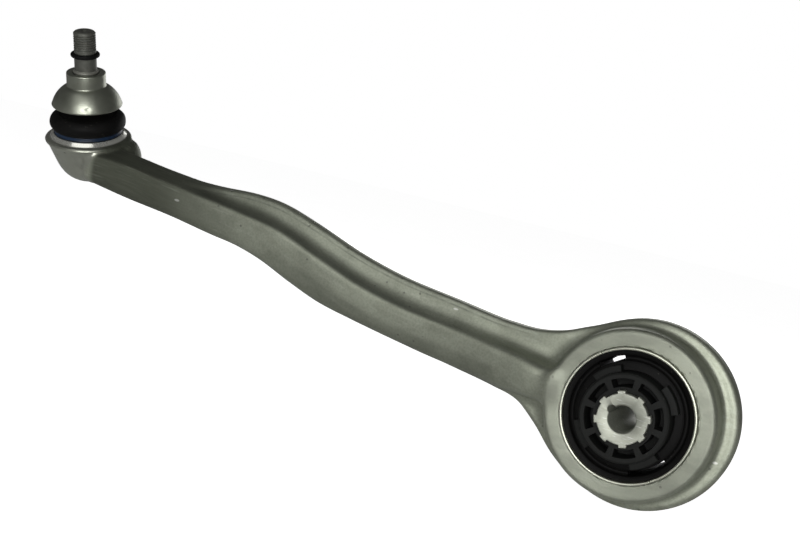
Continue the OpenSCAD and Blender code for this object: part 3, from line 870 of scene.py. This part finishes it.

# %% [markdown]
# The forging has three skins. Most of it is as it left the dies: soft grey, faintly green, mottled,
# with streaks along the bar where the metal flowed, and a thin dark line painted below the upper edge
# as the shade of the small step where the flash was cut off. The two faces of the eye are machined, so
# they are brighter, with turning marks and small knocks. The rim of the cup is rolled and polished.
# The end of the bar by the cup, the valley above the crest and the lower face are painted darker, as
# shade.

# %% Forged aluminium
def forged_aluminium():
    """Matt skin, mottled and streaked along the bar, with a turned boss face and a bright rolled lip.
    The valley above the crest, the lower face and the end by the cup are painted darker, as shade."""
    f = Finish("forged_aluminium", Metallic=0.85)
    spot = f.node("ShaderNodeSeparateXYZ", {}, {0: f.place}, "X") * (1 / MM)
    side = f.node("ShaderNodeSeparateXYZ", {}, {0: f.place}, "Y")
    drop = f.node("ShaderNodeAttribute", {"attribute_name": "below_crest"}, {}, "Fac")
    flow = f.node("ShaderNodeCombineXYZ", {}, {0: spot * MM, 1: side, 2: drop * MM})
    mottle = grain(f, 16, detail=4.0)
    fine = grain(f, 0.55, detail=2.0, seed=3.0)
    streak = grain(f, 2.2, (12, 1, 1), detail=3.0, seed=7.0, place=flow)
    dull = colours(f, mottle, (0.265, 0.282, 0.226, 1), (0.38, 0.402, 0.325, 1))
    # Painted shade: the bar is made darker towards the cup end, broken up by the streaks.
    painted_shade_by_cup = between(f, -1 * spot, 245, 335) * (1 - between(f, -1 * spot, 368, 373))
    body = colours(f, painted_shade_by_cup * (0.62 + 0.38 * streak), dull, (0.055, 0.06, 0.043, 1))
    body = colours(f, between(f, streak, 0.55, 0.75) * 0.22, body, (0.5, 0.52, 0.44, 1))
    pepper = between(f, grain(f, 1.3, detail=4.0, seed=5.0), 0.38, 0.66)
    blotch = between(f, grain(f, 7, (2.5, 1, 1), detail=4.0, seed=8.0, place=flow), 0.42, 0.68)
    body = colours(f, pepper * 0.2 + blotch * 0.2, body, (0.13, 0.14, 0.105, 1))
    # Painted shade: the valley above the crest is made darker.
    roof = between(f, drop, 1.0, -1.5) * between(f, drop, -9.5, -3.5)
    roof = roof * between(f, spot, -312, -285) * (1 - between(f, spot, -175, -90))
    body = colours(f, roof * 0.7, body, (0.06, 0.065, 0.05, 1))
    # Painted shade: the lower face, which leans downwards, is made darker.
    belly = between(f, drop, 9, 14) * between(f, spot, -250, -190) * (1 - between(f, spot, -95, -60))
    body = colours(f, belly * 0.36, body, (0.09, 0.095, 0.075, 1))
    dark_specks = specks(f, 9, 0.10, 2.0)
    bright_specks = specks(f, 13, 0.07, 5.0, (2.5, 1, 1))
    face = between(f, away_from(f, BUSH), 46.2, 45.2)
    face = face * between(f, f.maths("ABSOLUTE", along(f, BUSH)), BOSS_HALF - 0.6, BOSS_HALF - 0.25)
    cut_face = colours(f, mottle, (0.19, 0.203, 0.164, 1), (0.285, 0.298, 0.246, 1))
    body = colours(f, face * 0.75, body, cut_face)
    body = colours(f, face * blotch * 0.35, body, (0.16, 0.165, 0.14, 1))
    lip = between(f, along(f, BALL), 7.1, 7.9) * between(f, away_from(f, BALL), 29, 28)
    cup = between(f, away_from(f, BALL), 30, 27) * between(f, -1 * spot, 366, 372)
    body = colours(f, cup * 0.7, body, (0.36, 0.367, 0.32, 1))
    body = colours(f, lip, body, (0.72, 0.72, 0.66, 1))
    edge = f.node("ShaderNodeAttribute", {"attribute_name": "below_edge"}, {}, "Fac")
    # Painted shade: a thin dark line below the upper edge stands for the shade of the step where the flash
    # was cut off.
    flash_line_shade = between(f, edge, 2.6, 3.0) * (1 - between(f, edge, 3.3, 3.9)) * between(f, spot, -310, -290)
    broken = 0.4 + 0.6 * between(f, grain(f, 7, seed=1.0), 0.4, 0.6)
    flash_line_shade = flash_line_shade * (1 - between(f, spot, -75, -60)) * broken
    body = colours(f, flash_line_shade * 0.45, body, (0.08, 0.085, 0.07, 1))
    body = colours(f, dark_specks * 0.55, body, (0.09, 0.09, 0.08, 1))
    body = colours(f, bright_specks * 0.45, body, (0.85, 0.85, 0.82, 1))
    rough = 0.42 + 0.14 * mottle + 0.06 * fine - 0.04 * face - 0.16 * lip - 0.2 * cup
    marks = rings_of(f, away_from(f, BUSH), 0.42) * face * 0.35
    height = fine * 0.5 * (1 - 0.7 * cup) + mottle * 0.8 + streak * 0.35 * (1 - face)
    height = height + marks - dark_specks * 0.6
    return f.vary(Base_Color=body, Roughness=rough, Normal=relief(f, height, 0.11))


# %% Turned aluminium, steels and the painted ring
def turned_aluminium(name, light, local, rough, marks=0.3, pitch_mm=0.35, metal=0.85):
    """Bright metal with turning marks about an axis and a little mottling."""
    f = Finish(name, Metallic=metal)
    mottle, fine = grain(f, 6, detail=4.0), grain(f, 0.4, detail=2.0, seed=2.0)
    dark = tuple(0.72 * c for c in light)
    spots = specks(f, 4.5, 0.09, 4.0)
    tone = colours(f, mottle, dark + (1,), light + (1,))
    tone = colours(f, spots * 0.4, tone, (0.12, 0.12, 0.11, 1))
    turning = rings_of(f, along(f, local), pitch_mm) * rings_of(f, away_from(f, local), pitch_mm)
    height = turning * marks + fine * 0.35 + mottle * 0.4 - spots * 0.4
    return f.vary(Base_Color=tone, Roughness=rough + 0.12 * mottle, Normal=relief(f, height, 0.05))


def stud_steel():
    """Phosphated steel: nearly black, with rubbed, lighter metal on raised places and round the foot."""
    f = Finish("stud_steel", Metallic=0.75)
    mottle, fine = grain(f, 3.0, detail=4.0), grain(f, 0.3, detail=2.0)
    height = along(f, BALL)
    rubbed = between(f, height, 48.9, 49.8) * (1 - between(f, height, 51.3, 51.9)) * 0.8
    tone = colours(f, mottle, (0.075, 0.077, 0.066, 1), (0.15, 0.152, 0.134, 1))
    tone = colours(f, rubbed, tone, (0.34, 0.34, 0.30, 1))
    rough = 0.48 + 0.12 * fine - 0.18 * rubbed
    return f.vary(Base_Color=tone, Roughness=rough, Normal=relief(f, fine * 0.6 + mottle * 0.4, 0.04))


def painted(name, colour, lighter, rough, size_mm=2.0, dust=0.1, depth_mm=0.05, shine=0.25):
    """Rubber, plastic or paint: a fine moulded grain, slow change of tone and a little dust."""
    f = Finish(name, Metallic=0.0, Specular_IOR_Level=shine)
    slow, fine = grain(f, 11, detail=3.0), grain(f, size_mm * 0.2, detail=3.0, seed=4.0)
    dusty = specks(f, 3.4, 0.13, 1.0) * between(f, grain(f, 20, seed=6.0), 0.45, 0.65) * dust
    tone = colours(f, slow, colour + (1,), lighter + (1,))
    tone = colours(f, dusty, tone, (0.16, 0.155, 0.13, 1))
    height = fine * 0.7 + slow * 0.5
    rough = rough + 0.14 * fine + 0.1 * slow
    return f.vary(Base_Color=tone, Roughness=rough, Normal=relief(f, height, depth_mm))


def cast_core():
    """The core's end: bright aluminium with a matt, pitted skin and scratches across it."""
    f = Finish("core_aluminium", Metallic=0.8)
    mottle, fine = grain(f, 3.2, detail=5.0), grain(f, 0.35, detail=2.0, seed=2.0)
    pits = specks(f, 1.5, 0.16, 3.0)
    scratches = between(f, grain(f, 0.5, (14, 1, 1), (0, math.radians(35), 0), 1.0, 9.0), 0.63, 0.72)
    tone = colours(f, mottle, (0.22, 0.23, 0.19, 1), (0.36, 0.37, 0.32, 1))
    tone = colours(f, pits * 0.45, tone, (0.16, 0.16, 0.15, 1))
    tone = colours(f, scratches * 0.5, tone, (0.82, 0.82, 0.80, 1))
    height = fine * 0.6 + mottle * 0.5 - pits * 0.8
    return f.vary(Base_Color=tone, Roughness=0.42 + 0.14 * mottle, Normal=relief(f, height, 0.08))


FINISHES = {
    "forged_aluminium": forged_aluminium(),
    "bell_aluminium": turned_aluminium("bell_aluminium", (0.34, 0.355, 0.295), BALL, 0.33, metal=0.95),
    "sleeve_aluminium": turned_aluminium("sleeve_aluminium", (0.40, 0.41, 0.34), BUSH, 0.30, 0.2),
    "bright_steel": turned_aluminium("bright_steel", (0.55, 0.55, 0.53), BALL, 0.2, 0.25, 0.3, 1.0),
    "spring_steel": turned_aluminium("spring_steel", (0.3, 0.3, 0.29), BALL, 0.3, 0.15, 0.3, 1.0),
    "stud_steel": stud_steel(),
    "core_aluminium": cast_core(),
    "black_rubber": painted("black_rubber", (0.002, 0.002, 0.002), (0.0045, 0.0043, 0.004), 0.46,
                            2.0, 0.15, shine=0.09),
    "stop_plastic": painted("stop_plastic", (0.0045, 0.005, 0.0045), (0.008, 0.0085, 0.0075), 0.5,
                            1.6, 0.2, shine=0.14),
    "blue_ring": painted("blue_ring", (0.002, 0.007, 0.018), (0.005, 0.018, 0.045), 0.3,
                         2.5, 0.05, shine=0.35),
    "bearing_plastic": painted("bearing_plastic", (0.55, 0.52, 0.43), (0.66, 0.63, 0.53), 0.35, 2.0, 0.02),
}
WEARS = {"forged_aluminium": [arm, rim], "bell_aluminium": [bell], "sleeve_aluminium": [sleeve],
         "bright_steel": [frame["nodes"]["closing_ring"]], "spring_steel": [neck_ring],
         "stud_steel": [stud], "core_aluminium": [core], "stop_plastic": [front_stop, rear_stop],
         "black_rubber": [boot_lower, boot_upper, o_ring, lining, hub] + legs, "blue_ring": [clamp],
         "bearing_plastic": [frame["nodes"]["bearing_shell"]]}
for name, pieces in WEARS.items():
    for piece in pieces:
        piece.data.materials.clear()
        piece.data.materials.append(FINISHES[name])
    print(f"{name}: {len(pieces)} piece(s)")

# %% [markdown]
# ## Floor, light and camera
# The part rests on a pale studio floor. One very large soft light beside the camera lights what faces
# it, a weaker one lights the back, and the room above is left dim, so that edges that turn up go
# dark, as bare metal does. The floor is pale to the eye, but the metal doesn't reflect it: what
# shows in the metal from below is the lower half of the room, which is a softer grey.

# %% Floor
FLOOR_DROP, FLOOR_REACH, FLOOR_SIDES = 0.0006, 6.0, 64


def studio_floor():
    """A disc of rings, radius r and angle a, just below the lowest point of the part."""
    radii = np.array([0.05, 0.3, 0.8, 2.0, FLOOR_REACH]) / MM
    angle = np.linspace(0, 2 * math.pi, FLOOR_SIDES, endpoint=False)
    level = (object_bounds()[0][2] - FLOOR_DROP) / MM
    x, y = radii[:, None] * np.cos(angle), radii[:, None] * np.sin(angle)
    points = np.stack([x, y, level + 0 * x], -1).reshape(-1, 3)
    rings = grid_faces(len(radii), FLOOR_SIDES, wrap_columns=True)[:, ::-1]
    faces = rings.tolist() + [list(range(FLOOR_SIDES))]
    floor = smooth_mesh("floor", points, faces)
    paint = Finish("floor_paint", Roughness=0.85, Emission_Strength=1.0)
    tone = colours(paint, grain(paint, 60), (0.90, 0.90, 0.90, 1), (0.93, 0.93, 0.93, 1))
    floor.data.materials.append(paint.vary(Base_Color=tone, Emission_Color=tone))
    floor.visible_glossy = False
    floor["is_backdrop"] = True
    return floor


floor = studio_floor()

# %% Camera
VIEW_FROM = (0.1020, -0.6827, 0.1019)
VIEW_ALONG = (-0.349, 0.9336, -0.081)
VIEW_UP = (-0.2464, -0.008, 0.9691)
LENS, SENSOR = 56.25, 36.0


def aim(thing, position, forward, up=(0, 0, 1)):
    """Places an object with its -Z axis along forward and its +Y axis near up."""
    forward = np.array(forward) / np.linalg.norm(forward)
    right = np.cross(forward, up)
    right /= np.linalg.norm(right)
    matrix = np.eye(4)
    matrix[:3, :3] = np.stack([right, np.cross(right, forward), -forward], 1)
    matrix[:3, 3] = position
    thing.matrix_world = Matrix(matrix.tolist())


camera = bpy.data.objects.new("camera", bpy.data.cameras.new("camera"))
camera.data.lens, camera.data.sensor_width = LENS, SENSOR
bpy.context.scene.collection.objects.link(camera)
aim(camera, VIEW_FROM, VIEW_ALONG, VIEW_UP)
bpy.context.scene.camera = camera
print("camera", round(math.dist(VIEW_FROM, (0, 0, 0)), 3), "m from the bush")


# %% Lights
def soft_light(name, position, target, width, height, watts):
    """A rectangular light facing its target."""
    lamp = bpy.data.lights.new(name, "AREA")
    lamp.shape, lamp.size, lamp.size_y, lamp.energy = "RECTANGLE", width, height, watts
    light = bpy.data.objects.new(name, lamp)
    bpy.context.scene.collection.objects.link(light)
    aim(light, position, np.array(target) - np.array(position))
    return light


MIDDLE = (-0.17, 0.0, 0.02)
PANELS = {
    "front_panel": ((0.27, -1.5, 0.15), 1.0, 0.9, 24),
    "high_panel": ((-0.25, -1.0, 0.95), 1.2, 0.5, 2.4),
    "back_panel": ((-0.3, 1.5, 0.4), 1.0, 0.9, 5),
}
for name, (position, width, height, watts) in PANELS.items():
    soft_light(name, position, MIDDLE, width, height, watts)
world = bpy.data.worlds.new("studio")
world.use_nodes = True
bpy.context.scene.world = world


def dim_room(world):
    """Dim above and grey below, by the height of the direction, but white where seen directly."""
    nodes, links = world.node_tree.nodes, world.node_tree.links
    seen, mix = nodes.new("ShaderNodeLightPath"), nodes.new("ShaderNodeMixShader")
    white, way = nodes.new("ShaderNodeBackground"), nodes.new("ShaderNodeTexCoord")
    split, fade = nodes.new("ShaderNodeSeparateXYZ"), nodes.new("ShaderNodeMapRange")
    for socket, value in (("From Min", -0.25), ("From Max", 0.1), ("To Min", 0.24), ("To Max", 0.075)):
        fade.inputs[socket].default_value = value
    links.new(way.outputs["Generated"], split.inputs[0])
    links.new(split.outputs["Z"], fade.inputs["Value"])
    links.new(fade.outputs[0], nodes["Background"].inputs["Strength"])
    nodes["Background"].inputs["Color"].default_value = (1, 1, 1, 1)
    white.inputs["Color"].default_value = (1, 1, 1, 1)
    links.new(seen.outputs["Is Camera Ray"], mix.inputs[0])
    links.new(nodes["Background"].outputs[0], mix.inputs[1])
    links.new(white.outputs[0], mix.inputs[2])
    links.new(mix.outputs[0], nodes["World Output"].inputs["Surface"])


dim_room(world)
bpy.context.scene.view_settings.view_transform = "Standard"
